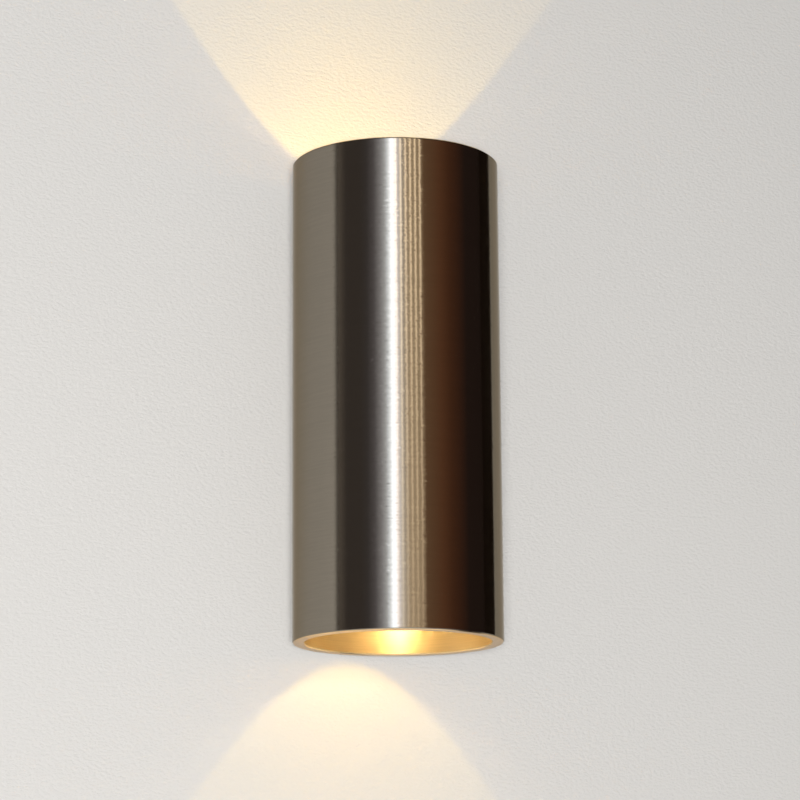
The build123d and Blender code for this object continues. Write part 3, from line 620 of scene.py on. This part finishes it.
# The room that the polished tube mirrors, going round from the left of the camera to its right. Each stop
# is an angle from the camera in degrees and a brightness in red, green and blue.
room_bands = [
    (-75, (0.24, 0.21, 0.19)),
    (-66, (0.24, 0.21, 0.19)),
    (-57, (0.11, 0.095, 0.09)),
    (-40, (0.11, 0.095, 0.09)),
    (-32, (0.125, 0.115, 0.12)),
    (-24, (0.26, 0.25, 0.28)),
    (-17, (0.68, 0.70, 0.80)),
    (-12, (1.2, 1.3, 1.5)),
    (-8, (2.5, 2.8, 3.3)),
    (-5, (4.4, 4.9, 5.8)),
    (-2, (4.4, 4.8, 5.7)),
    (1, (2.3, 2.3, 2.7)),
    (4, (1.6, 1.6, 1.7)),
    (8, (0.9, 0.82, 0.76)),
    (14, (0.8, 0.62, 0.44)),
    (24, (0.62, 0.46, 0.3)),
    (26.5, (0.52, 0.36, 0.23)),
    (28, (0.43, 0.28, 0.175)),
    (32, (0.34, 0.2, 0.115)),
    (50, (0.26, 0.115, 0.06)),
    (62, (0.16, 0.066, 0.035)),
    (74, (0.10, 0.044, 0.028)),
    (84, (0.045, 0.028, 0.024)),
    (130, (0.034, 0.024, 0.022)),
]
room_brightest = 5.8
slat_first = 0.6  # angles of the bright slats to the right of the window
slat_step = 5.35
slat_count = 6
slat_light = (4.8, 4.1, 3.1)
slat_sharpness = 5.0
slat_even = 0.1  # of the slats' light where they blend into one another
slat_blend = (0.1, 0.34)  # heights, as parts of 1, between which they come apart
ceiling_blend = (0.5, 0.7)  # and between which the room gives way to its dark ceiling
ceiling_shade = 0.12
pale_light = 0.15  # what everything but polished metal is lit by


def build_world():
    """An even pale light, and for what metal mirrors a room with a bright window and dark furniture."""
    world = bpy.data.worlds.new("studio_light")
    bpy.context.scene.world = world
    world.use_nodes = True
    w = Tree(world.node_tree)
    background = world.node_tree.nodes["Background"]
    direction = w.add("ShaderNodeTexCoord").outputs["Generated"]
    x, y, z = w.parts(direction)
    azimuth = w.math("ARCTAN2", x, w.math("MULTIPLY", y, -1.0))
    angle = w.math("MULTIPLY_ADD", azimuth, 180 / pi, -camera_azimuth * 180 / pi)
    first, last = room_bands[0][0], room_bands[-1][0]
    along = w.math("DIVIDE", w.math("SUBTRACT", angle, first), last - first)
    stops = []
    for place, colour in room_bands:
        stops.append(((place - first) / (last - first), [part / room_brightest for part in colour]))
    bands = w.vector("SCALE", w.ramp(along, stops), scale=room_brightest)
    # Slats: thin bright lines that blend into one another towards the horizon
    phase = w.math("MULTIPLY_ADD", angle, 2 * pi / slat_step, -2 * pi * slat_first / slat_step)
    wave = w.math("POWER", w.math("MULTIPLY_ADD", w.math("COSINE", phase), 0.5, 0.5), slat_sharpness)
    first_edge = slat_first - slat_step / 2
    last_edge = slat_first + (slat_count - 0.5) * slat_step
    after_first = w.step(angle, first_edge, first_edge + 1)
    before_last = w.step(angle, last_edge, last_edge + 1, 1, 0)
    inside = w.math("MULTIPLY", after_first, before_last)
    sharp = w.math("MULTIPLY", w.math("SUBTRACT", wave, slat_even), w.step(z, *slat_blend))
    slats = w.math("MULTIPLY", w.math("ADD", sharp, slat_even), inside)
    room = w.vector("ADD", bands, w.vector("SCALE", slat_light, scale=slats))
    room = w.vector("SCALE", room, scale=w.step(z, *ceiling_blend, 1.0, ceiling_shade))
    path = w.add("ShaderNodeLightPath").outputs
    pale = (pale_light, pale_light, pale_light, 1)
    seen = w.mix(path["Is Camera Ray"], pale, backdrop)
    w.set(background.inputs["Color"], w.mix(path["Is Glossy Ray"], seen, room))


build_world()

flag_x = 0.29
flag_depth = 0.11
flag_bottom, flag_top = -1.2, 1.4


def build_flag():
    """A dark card to the right of the tube that only polished metal mirrors."""
    m = Finish("flag", Roughness=1.0, Specular_IOR_Level=0.0, Base_Color=(0.03, 0.02, 0.015, 1))
    outline = [(0, flag_bottom), (-flag_depth, flag_bottom), (-flag_depth, flag_top), (0, flag_top)]
    corners = [(flag_x, y, z) for y, z in outline]
    card = flat_mesh("studio_flag", corners, [(0, 1, 2, 3)], m.material)
    card.visible_camera = False
    card.visible_diffuse = False
    card.visible_shadow = False
    card.visible_transmission = False


build_flag()


def area_light(name, place, size, energy):
    """A round white light, turned to the middle of the model, that polished metal doesn't mirror."""
    light = bpy.data.lights.new(name, "AREA")
    light.shape = "DISK"
    light.size = size
    light.energy = energy
    lamp = bpy.data.objects.new(name, light)
    lamp.location = place
    lamp.rotation_mode = "QUATERNION"
    lamp.rotation_quaternion = (-Vector(place)).to_track_quat("-Z", "Y")
    lamp.visible_glossy = False
    lamp.visible_camera = False
    bpy.context.scene.collection.objects.link(lamp)


area_light("softbox", (-0.73, -1.7, -0.37), size=0.3, energy=28)
area_light("back_light", (0.5, 1.3, 0.5), size=1.0, energy=10)

beam_colour = (1.0, 0.65, 0.04)
beam_half_angle = 32.8
beam_edge = 0.025  # the part of the cone that its edge fades over
core_half_angle = 30.0
core_edge = 1.0
beam_source_r = 1 * MM


def spot(name, place, side, energy, half_angle, blend):
    """A warm spot light that shines up (side 1) or down (side -1)."""
    light = bpy.data.lights.new(name, "SPOT")
    light.energy = energy
    light.color = beam_colour
    light.spot_size = radians(2 * half_angle)
    light.spot_blend = blend
    light.shadow_soft_size = beam_source_r
    light.use_shadow = False
    lamp = bpy.data.objects.new(name, light)
    lamp.location = place
    lamp.rotation_euler = (pi if side > 0 else 0, 0, 0)
    bpy.context.scene.collection.objects.link(lamp)


def beam(end, side, depth, energy, core_energy):
    """One lamp's beam, from a depth inside the tube: a sharp-edged cone, brighter round its axis."""
    place = (0, axis_y, side * (tube_top - depth))
    spot(f"{end}_beam", place, side, energy, beam_half_angle, beam_edge)
    spot(f"{end}_beam_core", place, side, core_energy, core_half_angle, core_edge)


beam("upper", 1, depth=63.9 * MM, energy=0.43, core_energy=0.25)
beam("lower", -1, depth=66.8 * MM, energy=0.225, core_energy=0.06)
